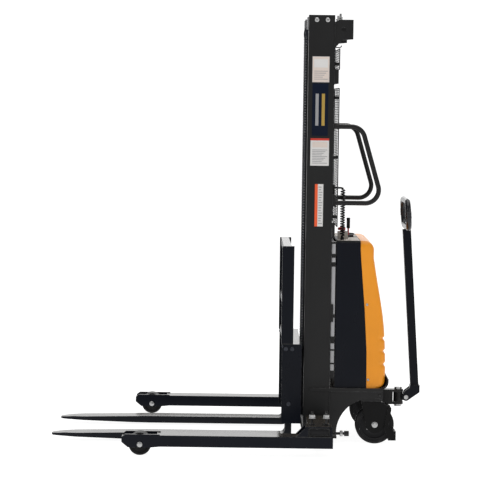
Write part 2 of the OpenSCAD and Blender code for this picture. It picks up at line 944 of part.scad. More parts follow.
module carriage_frame() {
    color(navy) {
        block([post_x[1] - 1, 1 - carriage_hw, carriage_z[1] - 8],
              [chain_x - 8, carriage_hw - 1, carriage_z[1]]);
        for (z = [lower_bar_z, upper_bar_z])
            block([fork_bar_x[0], -carriage_hw + 1, z], [fork_bar_x[1], carriage_hw - 1, z + bar_h]);
        for (s = SIDES) {
            block([carriage_x[0], s * (carriage_hw - plate_t), carriage_z[0]],
                  [carriage_x[1], s * carriage_hw, carriage_z[1]]);
            block([carriage_x[0], s * (carriage_hw - plate_t - 7), carriage_z[1] - 8],
                  [carriage_x[1], s * carriage_hw, carriage_z[1]]);
            block([fork_bar_x[1] - 1, s * arm_y[0], lower_bar_z + 6],
                  [mid_x + 30, s * arm_y[1], hook_z - 18]);
            block([fork_bar_x[1] - 1, s * pulley_y - 11, chain_end_z - 50],
                  [chain_x + 7, s * pulley_y + 11, chain_end_z]);
            block([fork_bar_x[0] + 4, s * pulley_y - 11, chain_end_z - 50],
                  [fork_bar_x[1], s * pulley_y + 11, chain_end_z + 1]);
        }
    }
}

module backrest() {
    color(navy) {
        for (s = SIDES) {
            block([post_x[0], s * (carriage_hw - post_w), carriage_z[1]],
                  [post_x[1], s * carriage_hw, backrest_z]);
            block([post_x[0] + 12, s * 104, carriage_z[1] + 6], [post_x[0] + 30, s * 122, backrest_z - 20]);
        }
        for (z = backrest_bar_z)
            block([post_x[0] + 6, 1 - carriage_hw, z - 32], [post_x[1] - 12, carriage_hw - 1, z]);
        block([post_x[0] + 6, 1 - carriage_hw, carriage_z[1]],
              [post_x[1] - 12, carriage_hw - 1, carriage_z[1] + 26]);
    }
}

// Side view of a fork: a blade that thins towards its tip, a rounded heel, and an upright shank
module fork_profile() {
    heel = 34;
    back = shank_x + shank_t;
    top = fork_z + fork_t;
    difference() {
        polygon(concat(
            [[tip_x, 23], [tip_x + 340, fork_z + 1], [tip_x + 420, fork_z]],
            [for (a = [-90:15:0]) [back - heel + heel * cos(a), fork_z + heel + heel * sin(a)]],
            [[back, hook_z], [fork_bar_x[1] + 1, hook_z], [fork_bar_x[1] + 1, hook_z - 14],
             [fork_bar_x[1] + 7, hook_z - 14],
             [fork_bar_x[1] + 7, hook_z + 14], [shank_x, hook_z + 14],
             [shank_x, top + 20], [shank_x - 20, top],
             [tip_x + 420, top], [tip_x + 60, 37], [tip_x, 32]]));
        translate([shank_x - 20, top + 20])
            circle(r = 20, $fn = fine);
    }
}

// Plan view of a fork: straight sides and a tip with clipped, rounded corners
module fork_plan() {
    w = fork_w / 2;
    polygon([[400, -w], [400, w], [tip_x + 110, w], [tip_x + 30, w - 18], [tip_x + 8, w - 28],
             [tip_x, w - 40],
             [tip_x, 40 - w], [tip_x + 8, 28 - w], [tip_x + 30, 18 - w], [tip_x + 110, -w]]);
}

module fork(s) {
    color(navy)
    translate([0, s * fork_y, 0])
        intersection() {
            upright(fork_w) fork_profile();
            linear_extrude(height = 600) fork_plan();
        }
}

// ---------- assembly ----------

base_frame();
outer_channel(LEFT);  // outer_channel_left
outer_channel(RIGHT);  // outer_channel_right
outer_crossmembers();
mast_head();
body_bolts();
lift_cylinder();
mesh_guard();
grab_handle(LEFT);  // grab_handle_left
grab_handle(RIGHT);  // grab_handle_right
side_panel(LEFT);  // side_panel_left
side_panel(RIGHT);  // side_panel_right
rear_cover();
console();
battery();
pump_motor();
oil_tank();
lift_lever();
emergency_stop();
key_switch();
cable_loom();
leg(LEFT);  // leg_left
leg(RIGHT);  // leg_right
clamp_studs(LEFT);  // clamp_studs_left
clamp_studs(RIGHT);  // clamp_studs_right
load_wheel(LEFT);  // load_wheel_left
load_wheel(RIGHT);  // load_wheel_right
load_axle(LEFT);  // load_axle_left
load_axle(RIGHT);  // load_axle_right
caster_fork(LEFT);  // caster_fork_left
caster_fork(RIGHT);  // caster_fork_right
caster_axle(LEFT);  // caster_axle_left
caster_axle(RIGHT);  // caster_axle_right
rear_wheel(LEFT);  // rear_wheel_left
rear_wheel(RIGHT);  // rear_wheel_right
rear_tyre(LEFT);  // rear_tyre_left
rear_tyre(RIGHT);  // rear_tyre_right
brake_pedal(LEFT);  // brake_pedal_left
brake_pedal(RIGHT);  // brake_pedal_right
kingpin();
tiller_yoke();
tilt_pin();
tiller_shaft();
tiller_loop();
inner_mast(LEFT);  // inner_mast_left
inner_mast(RIGHT);  // inner_mast_right
inner_crosshead();
inner_tie();
piston_rod();
chain_pulleys();
front_chains();
rear_chains();
mast_rollers();
head_rollers();
carriage_rollers(carriage_roller_z[0]);  // carriage_rollers_lower
carriage_rollers(carriage_roller_z[1]);  // carriage_rollers_upper
carriage_frame();
backrest();
fork(LEFT);  // fork_left
fork(RIGHT);  // fork_right
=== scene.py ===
import json
import math

import bmesh
import bpy
from mathutils import Matrix, Vector


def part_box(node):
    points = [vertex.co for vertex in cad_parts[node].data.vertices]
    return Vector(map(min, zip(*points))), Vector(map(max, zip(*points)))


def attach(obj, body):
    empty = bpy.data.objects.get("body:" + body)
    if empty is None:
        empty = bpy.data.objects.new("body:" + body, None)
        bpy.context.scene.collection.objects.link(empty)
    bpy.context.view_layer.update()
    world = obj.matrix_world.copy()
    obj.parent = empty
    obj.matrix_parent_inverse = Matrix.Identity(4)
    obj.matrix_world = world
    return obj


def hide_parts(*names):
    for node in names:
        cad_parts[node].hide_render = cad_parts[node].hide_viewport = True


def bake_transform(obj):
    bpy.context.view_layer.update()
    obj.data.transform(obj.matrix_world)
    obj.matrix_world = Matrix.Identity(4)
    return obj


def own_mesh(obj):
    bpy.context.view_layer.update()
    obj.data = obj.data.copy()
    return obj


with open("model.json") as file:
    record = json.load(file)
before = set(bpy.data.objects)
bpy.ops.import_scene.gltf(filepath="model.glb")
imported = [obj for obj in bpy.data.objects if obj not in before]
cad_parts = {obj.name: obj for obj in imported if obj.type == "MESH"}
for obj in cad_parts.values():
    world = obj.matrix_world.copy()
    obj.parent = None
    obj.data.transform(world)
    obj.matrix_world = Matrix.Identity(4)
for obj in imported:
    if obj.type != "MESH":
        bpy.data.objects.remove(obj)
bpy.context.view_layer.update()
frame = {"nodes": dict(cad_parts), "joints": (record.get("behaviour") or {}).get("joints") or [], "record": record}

NODES = frame["nodes"]
SIDES = (("left", -1), ("right", 1))
MM = 0.001


# ---------- places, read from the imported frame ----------

def low(node):
    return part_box(node)[0]


def high(node):
    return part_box(node)[1]


def middle_of(node):
    a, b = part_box(node)
    return (a + b) / 2


def joint_at(name):
    return Vector(next(j["pos_m"] for j in frame["joints"] if j["name"] == name))


MAST_FRONT = low("outer_channel_left").x
MAST_BACK = high("outer_channel_left").x
MAST_HALF = high("outer_channel_right").y
DECK_TOP = low("side_panel_left").z
PACK_HALF = high("rear_cover").y
PACK_FRONT = low("side_panel_left").x
PACK_TOP = high("rear_cover").z


# ---------- camera, lights and floor ----------

CAMERA_LENS = 156
CAMERA_AT = (0, -9.7, 1.551)
CAMERA_PITCH = math.radians(3.79)
CAMERA_ROLL = math.radians(0.75)


def make_camera():
    data = bpy.data.cameras.new("camera")
    data.lens = CAMERA_LENS
    data.sensor_width = 36
    camera = bpy.data.objects.new("camera", data)
    look = Matrix.Rotation(math.pi / 2 - CAMERA_PITCH, 4, "X") @ Matrix.Rotation(CAMERA_ROLL, 4, "Z")
    camera.matrix_world = Matrix.Translation(CAMERA_AT) @ look
    bpy.context.scene.collection.objects.link(camera)
    bpy.context.scene.camera = camera


def make_light(name, place, aim, size, power, colour=(1, 1, 1)):
    data = bpy.data.lights.new(name, "AREA")
    data.shape = "RECTANGLE"
    data.size, data.size_y = size
    data.energy = power
    data.color = colour
    light = bpy.data.objects.new(name, data)
    light.location = place
    light.rotation_euler = (Vector(aim) - Vector(place)).to_track_quat("-Z", "Y").to_euler()
    bpy.context.scene.collection.objects.link(light)


def make_studio():
    world = bpy.data.worlds.new("studio")
    world.use_nodes = True
    world.node_tree.nodes["Background"].inputs["Color"].default_value = (1, 1, 1, 1)
    world.node_tree.nodes["Background"].inputs["Strength"].default_value = 0.30
    bpy.context.scene.world = world
    bpy.context.scene.view_settings.view_transform = "Standard"
    make_light("overhead", (0.2, 0.0, 4.6), (0.2, 0.0, 0.0), (5.0, 5.0), 130)
    make_light("key", (-3.8, -5.5, 3.6), (0.1, 0.0, 0.9), (2.2, 2.8), 40)
    make_light("fill", (4.2, -4.5, 2.6), (0.3, 0.0, 0.9), (2.0, 2.6), 26)
    make_light("back", (0.5, 5.5, 3.4), (0.3, 0.0, 1.0), (5.0, 2.5), 60)
    floor_material = bpy.data.materials.new("floor_white")
    floor_material.use_nodes = True
    shader = floor_material.node_tree.nodes["Principled BSDF"]
    shader.inputs["Base Color"].default_value = (0.30, 0.30, 0.30, 1)
    shader.inputs["Roughness"].default_value = 0.9
    shader.inputs["Emission Color"].default_value = (1, 1, 1, 1)
    shader.inputs["Emission Strength"].default_value = 0.93
    bm = bmesh.new()
    width, near, flat_to, radius, wall = 22, -16, 9, 4, 12
    profile = [(near, 0)] + [(flat_to + radius * math.sin(a), radius - radius * math.cos(a))
                             for a in [math.pi / 2 * i / 16 for i in range(17)]] + [(flat_to + radius, wall)]
    rows = [[bm.verts.new((x, y, z)) for x in (-width, width)] for y, z in profile]
    for a, b in zip(rows, rows[1:]):
        bm.faces.new((a[0], a[1], b[1], b[0]))
    mesh = bpy.data.meshes.new("floor")
    bm.to_mesh(mesh)
    bm.free()
    floor = bpy.data.objects.new("floor", mesh)
    mesh.materials.append(floor_material)
    mesh.polygons.foreach_set("use_smooth", [True] * len(mesh.polygons))
    bpy.context.scene.collection.objects.link(floor)


# ---------- material nodes ----------

def new_material(name, colour, roughness, metallic=0.0, **sockets):
    material = bpy.data.materials.new(name)
    material.use_nodes = True
    shader = material.node_tree.nodes["Principled BSDF"]
    shader.inputs["Base Color"].default_value = (*colour, 1)
    shader.inputs["Roughness"].default_value = roughness
    shader.inputs["Metallic"].default_value = metallic
    for socket, value in sockets.items():
        shader.inputs[socket.replace("_", " ")].default_value = value
    return material


def shader_of(material):
    return material.node_tree.nodes["Principled BSDF"]


def add(material, kind, inputs=None, **settings):
    """A node with its settings, and its inputs either linked or set."""
    node = material.node_tree.nodes.new(kind)
    for name, value in settings.items():
        setattr(node, name, value)
    for name, value in (inputs or {}).items():
        if isinstance(value, bpy.types.NodeSocket):
            material.node_tree.links.new(value, node.inputs[name])
        else:
            node.inputs[name].default_value = value
    return node


def noise(material, scale, detail=3.0, stretch=(1, 1, 1), roughness=0.55):
    place = add(material, "ShaderNodeTexCoord").outputs["Object"]
    moved = add(material, "ShaderNodeMapping", {"Vector": place, "Scale": stretch}).outputs[0]
    made = add(material, "ShaderNodeTexNoise",
               {"Vector": moved, "Scale": scale, "Detail": detail, "Roughness": roughness})
    return made.outputs["Fac"]


def remap(material, value, start, end, to_start=0.0, to_end=1.0):
    return add(material, "ShaderNodeMapRange", {"Value": value, "From Min": start, "From Max": end,
                                                "To Min": to_start, "To Max": to_end}).outputs["Result"]


def maths(material, operation, a, b):
    return add(material, "ShaderNodeMath", {0: a, 1: b}, operation=operation).outputs[0]


def blend_colours(material, amount, a, b):
    node = add(material, "ShaderNodeMix", data_type="RGBA")
    links = material.node_tree.links
    links.new(amount, node.inputs["Factor"])
    for index, colour in ((6, a), (7, b)):
        if isinstance(colour, bpy.types.NodeSocket):
            links.new(colour, node.inputs[index])
        else:
            node.inputs[index].default_value = (*colour, 1)
    return node.outputs[2]


def plug(material, socket, value):
    material.node_tree.links.new(value, shader_of(material).inputs[socket])


def edge_mask(material, radius):
    """1 along convex and concave edges, 0 on flats, from how far a rounded normal turns."""
    rounded = add(material, "ShaderNodeBevel", {"Radius": radius}, samples=4).outputs[0]
    true = add(material, "ShaderNodeNewGeometry").outputs["Normal"]
    dot = add(material, "ShaderNodeVectorMath", {0: rounded, 1: true}, operation="DOT_PRODUCT")
    return remap(material, dot.outputs["Value"], 0.995, 0.86)


def up_mask(material):
    """1 on faces that look up, where dust settles and where a beige sheen is painted."""
    normal = add(material, "ShaderNodeNewGeometry").outputs["Normal"]
    split = add(material, "ShaderNodeSeparateXYZ", {0: normal}).outputs["Z"]
    return remap(material, split, 0.75, 0.98)


def relief(material, height, strength, distance, edge_radius=0.0):
    """Bump from a height, over corners that the Bevel node rounds."""
    inputs = {"Height": height, "Strength": strength, "Distance": distance}
    if edge_radius:
        inputs["Normal"] = add(material, "ShaderNodeBevel", {"Radius": edge_radius}, samples=4).outputs[0]
    plug(material, "Normal", add(material, "ShaderNodeBump", inputs).outputs["Normal"])


def shade(colour, factor):
    return tuple(min(1.0, c * factor) for c in colour)


def paint(name, colour, roughness, gloss, wear, wear_amount=0.55, dust_and_sheen=0.16):
    """Powder coat: orange peel, cloudy gloss, scuffed edges, and upper faces polished, dusty and given a painted
    beige sheen.
    """
    m = new_material(name, colour, roughness)
    up = up_mask(m)
    plug(m, "Specular IOR Level", remap(m, up, 0, 1, gloss, 0.5))
    cloud = noise(m, 5, 4)
    speck = noise(m, 60, 6)
    base = blend_colours(m, cloud, shade(colour, 0.8), shade(colour, 1.25))
    # Upward faces blend towards a speckled beige: partly real dust, partly a painted sheen for the light that top
    # faces catch at a grazing view.
    dust_and_sheen_mask = maths(m, "MULTIPLY", up, remap(m, speck, 0.3, 0.75, dust_and_sheen * 0.3, dust_and_sheen))
    base = blend_colours(m, dust_and_sheen_mask, base, (0.50, 0.43, 0.34))
    broken = maths(m, "MULTIPLY", edge_mask(m, 0.0022), remap(m, speck, 0.47, 0.66, 0.0, wear_amount))
    plug(m, "Base Color", blend_colours(m, broken, base, wear))
    smear = remap(m, noise(m, 11, 5, stretch=(1, 1, 0.4)), 0.3, 0.7, roughness - 0.06, roughness + 0.09)
    plug(m, "Roughness", maths(m, "MULTIPLY", smear, remap(m, up, 0, 1, 1.0, 0.45)))
    relief(m, noise(m, 420, 2), 0.10, 0.0006, 0.0014)
    return m


def plastic(name, colour, roughness, grain=0.06, grain_scale=1400, edge=0.0012, **sockets):
    """Moulded plastic with fine grain and slightly uneven gloss."""
    m = new_material(name, colour, roughness, **sockets)
    cloud = noise(m, 7, 4)
    plug(m, "Base Color", blend_colours(m, cloud, shade(colour, 0.9), shade(colour, 1.1)))
    plug(m, "Roughness", remap(m, noise(m, 16, 5), 0.3, 0.7, roughness - 0.04, roughness + 0.07))
    relief(m, noise(m, grain_scale, 2), grain, 0.0004, edge)
    return m


def metal(name, colour, roughness, stretch=(1, 1, 1), scale=300, grain=0.12, stain=(0.25, 0.22, 0.19)):
    """Bare or plated metal: directional grain, cloudy tone and faint stains."""
    m = new_material(name, colour, roughness, metallic=1.0)
    cloud = noise(m, 18, 5)
    tone = blend_colours(m, cloud, shade(colour, 0.78), shade(colour, 1.12))
    spots = remap(m, noise(m, 55, 6), 0.62, 0.74, 0.0, 0.45)
    plug(m, "Base Color", blend_colours(m, spots, tone, stain))
    plug(m, "Roughness", remap(m, noise(m, 40, 5), 0.3, 0.7, roughness - 0.07, roughness + 0.12))
    relief(m, noise(m, scale, 2, stretch=stretch), grain, 0.0003, 0.0008)
    return m


def rubber(name, colour, roughness, scuff=0.35):
    """Rubber or polyurethane with scuffs and floor dust."""
    m = new_material(name, colour, roughness, Specular_IOR_Level=0.16)
    scuffs = remap(m, noise(m, 30, 8, stretch=(1, 1, 0.5)), 0.50, 0.72, 0.0, scuff)
    base = blend_colours(m, noise(m, 9, 3), shade(colour, 0.8), shade(colour, 1.3))
    plug(m, "Base Color", blend_colours(m, scuffs, base, (0.10, 0.097, 0.09)))
    plug(m, "Roughness", remap(m, noise(m, 25, 5), 0.3, 0.7, roughness - 0.08, roughness + 0.12))
    relief(m, noise(m, 700, 4), 0.22, 0.0005, 0.0012)
    return m


def make_materials():
    bare = (0.30, 0.30, 0.31)
    return {
        "black_paint": paint("black_powder_coat", (0.0095, 0.0095, 0.0098), 0.40, 0.26, bare),
        "deep_paint": paint("satin_black", (0.0032, 0.0032, 0.0034), 0.36, 0.13, bare, 0.4),
        "navy_paint": paint("navy_powder_coat", (0.0030, 0.0042, 0.0082), 0.30, 0.13, (0.22, 0.23, 0.25)),
        "fork_paint": paint("fork_enamel", (0.0032, 0.0042, 0.0075), 0.34, 0.15, (0.45, 0.45, 0.46), 0.9),
        "orange_cover": plastic("orange_shell", (0.88, 0.320, 0.018), 0.34, 0.03, 260, 0.0,
                                Specular_IOR_Level=0.3),
        "black_plastic": plastic("black_moulding", (0.008, 0.008, 0.009), 0.45, 0.16, Specular_IOR_Level=0.2),
        "red_plastic": plastic("red_moulding", (0.50, 0.012, 0.010), 0.28, 0.03),
        "zinc": metal("zinc_plate", (0.46, 0.46, 0.46), 0.32),
        "steel": metal("machined_steel", (0.42, 0.42, 0.43), 0.33, stretch=(1, 1, 0.06)),
        "chrome_rod": metal("hard_chrome", (0.82, 0.82, 0.84), 0.10, stretch=(1, 1, 0.02), grain=0.04),
        "wire": metal("galvanised_wire", (0.06, 0.062, 0.065), 0.42),
        "sheet": plastic("grey_sheet", (0.36, 0.36, 0.37), 0.50, 0.03, 300, 0.0),
        "console_top": plastic("console_top", (0.56, 0.52, 0.47), 0.62, 0.03, 300, 0.0),
        "chain": metal("oiled_chain", (0.055, 0.058, 0.07), 0.34, stain=(0.05, 0.045, 0.04)),
        "rubber": rubber("moulded_rubber", (0.007, 0.007, 0.0075), 0.50, 0.08),
        "grip": plastic("dipped_grip", (0.0050, 0.0055, 0.0090), 0.22, 0.05, 300, Specular_IOR_Level=0.5),
        "tyre": rubber("used_tyre", (0.0055, 0.0055, 0.0062), 0.45, 0.16),
        "weld": paint("painted_weld", (0.009, 0.009, 0.0095), 0.38, 0.3, bare, 0.2),
        "label_white": plastic("label_white", (0.68, 0.665, 0.65), 0.42),
        "label_cream": plastic("label_cream", (0.68, 0.59, 0.53), 0.42),
        "label_yellow": plastic("label_yellow", (0.42, 0.27, 0.05), 0.36),
        "label_navy": plastic("label_navy", (0.003, 0.007, 0.020), 0.30, Specular_IOR_Level=0.15),
        "label_red": plastic("label_red", (0.55, 0.035, 0.02), 0.34),
        "label_orange": plastic("label_orange", (0.82, 0.10, 0.02), 0.34),
        "label_grey": plastic("label_grey", (0.30, 0.30, 0.31), 0.38),
    }


# ---------- mesh building ----------

def pour(bm, part, matrix=None):
    """Adds one small mesh to a larger one."""
    if matrix is not None:
        bmesh.ops.transform(part, matrix=matrix, verts=part.verts)
    mesh = bpy.data.meshes.new("part")
    part.to_mesh(mesh)
    part.free()
    bm.from_mesh(mesh)
    bpy.data.meshes.remove(mesh)


def piece(name, bm, materials, body, replaces=(), sharp=35):
    """A finished piece of the object, riding on a body."""
    bmesh.ops.recalc_face_normals(bm, faces=bm.faces)
    mesh = bpy.data.meshes.new(name)
    bm.to_mesh(mesh)
    bm.free()
    mesh.polygons.foreach_set("use_smooth", [True] * len(mesh.polygons))
    mesh.set_sharp_from_angle(angle=math.radians(sharp))
    for key in ([materials] if isinstance(materials, str) else materials):
        mesh.materials.append(MATERIALS[key])
    made = bpy.data.objects.new(name, mesh)
    bpy.context.scene.collection.objects.link(made)
    if body:
        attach(made, body)
    if replaces:
        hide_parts(*replaces)
    return made


def add_box(bm, a, b, bevel=0.0, segments=2, material=0):
    part = bmesh.new()
    bmesh.ops.create_cube(part, size=1)
    a, b = Vector(a), Vector(b)
    size = Vector([max(abs(v), 1e-6) for v in b - a])
    place = Matrix.Translation((a + b) / 2) @ Matrix.Diagonal((*size, 1))
    bmesh.ops.transform(part, matrix=place, verts=part.verts)
    if bevel:
        bmesh.ops.bevel(part, geom=part.edges, offset=bevel, segments=segments, profile=0.5, affect="EDGES")
    for face in part.faces:
        face.material_index = material
    pour(bm, part)


def frame_along(direction):
    """A rotation whose Z axis is the direction."""
    return Vector(direction).to_track_quat("Z", "Y").to_matrix().to_4x4()


def add_lathe(bm, profile, at, direction=(0, 0, 1), sides=48, material=0, closed=False):
    """A turned shape. profile holds (radius, height) points, and closed joins its last point to its first."""
    part = bmesh.new()
    rings = []
    for radius, height in profile:
        if radius < 1e-7:
            rings.append([part.verts.new((0, 0, height))])
        else:
            rings.append([part.verts.new((radius * math.cos(t), radius * math.sin(t), height))
                          for t in (2 * math.pi * i / sides for i in range(sides))])
    pairs = list(zip(rings, rings[1:])) + ([(rings[-1], rings[0])] if closed else [])
    for a, b in pairs:
        for i in range(sides):
            k = (i + 1) % sides
            corners = [a[i % len(a)], a[k % len(a)], b[k % len(b)], b[i % len(b)]]
            corners = [v for n, v in enumerate(corners) if v not in corners[:n]]
            if len(corners) > 2:
                part.faces.new(corners)
    for ring, is_end in ((rings[0], not closed), (rings[-1], not closed)):
        if is_end and len(ring) > 2:
            part.faces.new(ring)
    for face in part.faces:
        face.material_index = material
    pour(bm, part, Matrix.Translation(at) @ frame_along(direction))


def add_tube(bm, points, radius, sides=8, material=0, closed=False, ripple=None):
    """A round tube swept along points; ripple(i) scales the radius at point i."""
    part = bmesh.new()
    points = [Vector(p) for p in points]
    count = len(points)
    rings = []
    up = None
    for i, p in enumerate(points):
        before = points[(i - 1) % count] if closed or i else p
        after = points[(i + 1) % count] if closed or i < count - 1 else p
        along = (after - before).normalized()
        if up is None:
            up = along.orthogonal().normalized()
        up = (up - along * up.dot(along)).normalized()
        side = along.cross(up)
        r = radius * (ripple(i) if ripple else 1)
        rings.append([part.verts.new(p + r * (math.cos(t) * up + math.sin(t) * side))
                      for t in (2 * math.pi * k / sides for k in range(sides))])
    for a, b in list(zip(rings, rings[1:])) + ([(rings[-1], rings[0])] if closed else []):
        for k in range(sides):
            n = (k + 1) % sides
            part.faces.new((a[k], a[n], b[n], b[k]))
    if not closed:
        part.faces.new(rings[0])
        part.faces.new(rings[-1])
    for face in part.faces:
        face.material_index = material
    pour(bm, part)


def add_plate(bm, outline, y0, y1, bevel=0.0, material=0):
    """A flat plate from a side view's (x, z) outline, between two y values."""
    part = bmesh.new()
    near = [part.verts.new((x, y0, z)) for x, z in outline]
    far = [part.verts.new((x, y1, z)) for x, z in outline]
    count = len(outline)
    part.faces.new(near)
    part.faces.new(far)
    for i in range(count):
        k = (i + 1) % count
        part.faces.new((near[i], near[k], far[k], far[i]))
    if bevel:
        rims = [e for e in part.edges if abs(e.verts[0].co.y - e.verts[1].co.y) < 1e-9]
        bmesh.ops.bevel(part, geom=rims, offset=bevel, segments=2, profile=0.5, affect="EDGES")
    for face in part.faces:
        face.material_index = material
    pour(bm, part)


def line(a, b, step):
    a, b = Vector(a), Vector(b)
    count = max(2, int((b - a).length / step) + 1)
    return [a.lerp(b, i / (count - 1)) for i in range(count)]


def arc(centre, radius, start, end, steps, plane="XZ"):
    """Points of an arc, in degrees, in the XZ or YZ plane."""
    made = []
    for i in range(steps + 1):
        t = math.radians(start + (end - start) * i / steps)
        u, v = radius * math.cos(t), radius * math.sin(t)
        made.append(Vector(centre) + (Vector((u, 0, v)) if plane == "XZ" else Vector((0, u, v))))
    return made


def smooth_curve(points, per_span):
    """Catmull-Rom points through the given ones."""
    pts = [Vector(p) for p in points]
    pts = [2 * pts[0] - pts[1]] + pts + [2 * pts[-1] - pts[-2]]
    made = []
    for a, b, c, d in zip(pts, pts[1:], pts[2:], pts[3:]):
        for i in range(per_span):
            t = i / per_span
            made.append(0.5 * (2 * b + (c - a) * t + (2 * a - 5 * b + 4 * c - d) * t * t
                               + (3 * b - a - 3 * c + d) * t ** 3))
    return made + [pts[-2]]


def thicken(bm, skin):
    """Gives an open surface an inner side and closes its rims."""
    bmesh.ops.dissolve_degenerate(bm, dist=1e-6, edges=bm.edges)
    bmesh.ops.recalc_face_normals(bm, faces=bm.faces)
    middle = sum((v.co for v in bm.verts), Vector()) / len(bm.verts)
    if sum(f.normal.dot(f.calc_center_median() - middle) * f.calc_area() for f in bm.faces) < 0:
        bmesh.ops.reverse_faces(bm, faces=bm.faces)
    bm.normal_update()
    inner = {v: bm.verts.new(v.co - v.normal * skin) for v in bm.verts[:]}
    rims = [e for e in bm.edges if e.is_boundary]
    for face in bm.faces[:]:
        bm.faces.new([inner[v] for v in reversed(face.verts)])
    for e in rims:
        a, b = e.verts
        bm.faces.new((a, b, inner[b], inner[a]))


# ---------- fasteners and welds ----------

def add_bolt(bm, at, direction, radius, height, material=0, hex_head=True):
    """A bolt head on a washer, standing on a face."""
    washer = [(0, 0), (radius * 1.45, 0), (radius * 1.45, height * 0.18),
              (radius * 1.35, height * 0.25), (0, height * 0.25)]
    add_lathe(bm, washer, at, direction, 24, material)
    top = Vector(at) + Vector(direction) * height * 0.25
    head = [(0, 0), (radius, 0), (radius, height * 0.6), (radius * 0.86, height * 0.75), (0, height * 0.75)]
    add_lathe(bm, head, top, direction, 6 if hex_head else 24, material)


def add_dome(bm, at, direction, radius, height, material=0):
    """A domed screw head with a round socket."""
    profile = [(0, 0), (radius, 0)]
    profile += [(radius * math.cos(t), height * (0.25 + 0.75 * math.sin(t)))
                for t in (math.pi / 2 * i / 6 for i in range(5))]
    profile += [(radius * 0.42, height), (radius * 0.42, height * 0.55), (0, height * 0.55)]
    add_lathe(bm, profile, at, direction, 24, material)


def add_weld(bm, a, b, radius=0.0028):
    """A rippled bead along a seam."""
    add_tube(bm, line(a, b, 0.0045), radius, 6, ripple=lambda i: 1.0 + 0.22 * (i % 2))


# ---------- mast details ----------

def make_labels():
    """Plain stickers with no lettering: panels, a border and a few ruled lines."""
    middle = (MAST_FRONT + MAST_BACK) / 2 - 0.002
    skin = 0.0004
    slots = ["label_white", "label_cream", "label_navy", "label_red", "label_orange", "label_grey",
             "label_yellow"]
    white, cream, navy, red, orange, grey, yellow = range(7)

    def sticker(bm, side, depth, x0, x1, z0, z1, material):
        y = side * (MAST_HALF + skin * depth)
        add_box(bm, (middle + x0, side * MAST_HALF, z0), (middle + x1, y, z1), material=material)

    def ruled(bm, side, x0, x1, z0, z1, count, fill=0.45):
        pitch = (z1 - z0) / count
        for i in range(count):
            end = x1 - (x1 - x0) * 0.12 * ((i * 7) % 4)
            z = z0 + (i + 0.5 - fill / 2) * pitch
            sticker(bm, side, 2.0, x0, end, z, z + fill * pitch, grey)

    for name, side in SIDES:
        bm = bmesh.new()
        sticker(bm, side, 1.0, -0.039, 0.039, 1.645, 1.762, grey)
        sticker(bm, side, 1.5, -0.0375, 0.0375, 1.6465, 1.7605, cream)
        ruled(bm, side, -0.031, 0.031, 1.655, 1.700, 5, 0.30)
        sticker(bm, side, 2.0, -0.031, 0.031, 1.712, 1.750, white)
        sticker(bm, side, 1.0, -0.037, 0.035, 1.404, 1.640, navy)
        for x in (-0.022, 0.006):
            sticker(bm, side, 1.5, x, x + 0.014, 1.450, 1.594, grey if x < 0 else yellow)
        sticker(bm, side, 1.0, -0.042, 0.042, 1.269, 1.393, white)
        sticker(bm, side, 1.5, -0.042, 0.042, 1.383, 1.393, red)
        sticker(bm, side, 1.5, -0.034, 0.034, 1.352, 1.376, cream)
        ruled(bm, side, -0.034, 0.034, 1.277, 1.344, 9, 0.34)
        sticker(bm, side, 1.0, -0.019, 0.019, 0.994, 1.186, white)
        sticker(bm, side, 1.5, -0.019, -0.006, 0.994, 1.186, orange)
        ruled(bm, side, -0.002, 0.015, 1.002, 1.178, 15, 0.30)
        piece(f"labels_{name}", bm, slots, "chassis", sharp=20)


def make_mesh_guard():
    """Two wire panels inside rod borders, and below them a plain sheet, with light-grey strips at its sides that
    are painted light standing in for the bright background seen through the side gaps.
    """
    a, b = low("mesh_guard"), high("mesh_guard")
    x, half = b.x - 0.0030, b.y
    lower = PACK_FRONT - 0.0045
    pitch, wire, edge = 0.0111, 0.0014, 0.0028
    panels = ((0.990, 1.622), (1.703, b.z))
    # z ranges of the light-grey strips painted in the side gaps as the bright background seen through them
    strips = ((0.337, 0.365), (0.373, 0.427), (0.435, 0.461), (0.493, 0.578), (0.595, 0.811), (0.832, 0.852),
              (0.870, 0.915))
    short_stay = 1.105
    stays = (1.030, short_stay, 1.300, 1.570, 1.722)
    painted, zinc, sheet = 1, 2, 3
    bm = bmesh.new()
    for bottom, top in panels:
        corners = [(x, -half + edge, bottom + edge), (x, half - edge, bottom + edge),
                   (x, half - edge, top - edge), (x, -half + edge, top - edge)]
        for p, q in zip(corners, corners[1:] + corners[:1]):
            add_tube(bm, [p, q], edge, 8)
        for y in (-0.131, 0, 0.131):
            add_tube(bm, [(x - wire, y, bottom + edge), (x - wire, y, top - edge)], 0.0018, 6)
        rows = round((top - bottom) / pitch)
        for i in range(1, rows):
            z = bottom + (top - bottom) * i / rows
            add_tube(bm, [(x + wire * 0.8, -half + edge, z), (x + wire * 0.8, half - edge, z)], wire, 6)
    add_box(bm, (lower, 0.002 - half, a.z + 0.030), (lower + 0.002, half - 0.002, 0.915), 0.0006, material=sheet)
    for _, side in SIDES:
        add_box(bm, (MAST_BACK + 0.001, side * 0.2825, 0.302), (lower - 0.0005, side * 0.2800, 0.924),
                material=painted)
        # Painted light: these light-grey strips stand in for the bright background seen through the gap beside the
        # guard.
        for bottom, top in strips:
            add_box(bm, (MAST_BACK + 0.002, side * 0.2850, bottom), (lower - 0.001, side * 0.2825, top), 0.0005,
                    material=sheet)
        add_box(bm, (a.x + 0.012, side * (half - 0.014), 0.600), (lower, side * (half - 0.002), 0.614), 0.001,
                material=painted)
        for z in stays:
            start = a.x + 0.012 if z == short_stay else a.x
            add_box(bm, (start, side * (half - 0.012), z), (x, side * half, z + 0.014), 0.001, material=painted)
            add_dome(bm, (x + 0.0005, side * (half - 0.007), z + 0.007), (1, 0, 0), 0.0045, 0.002, zinc)
    piece("wire_guard", bm, ["wire", "black_paint", "zinc", "sheet"], "chassis", ["mesh_guard"])


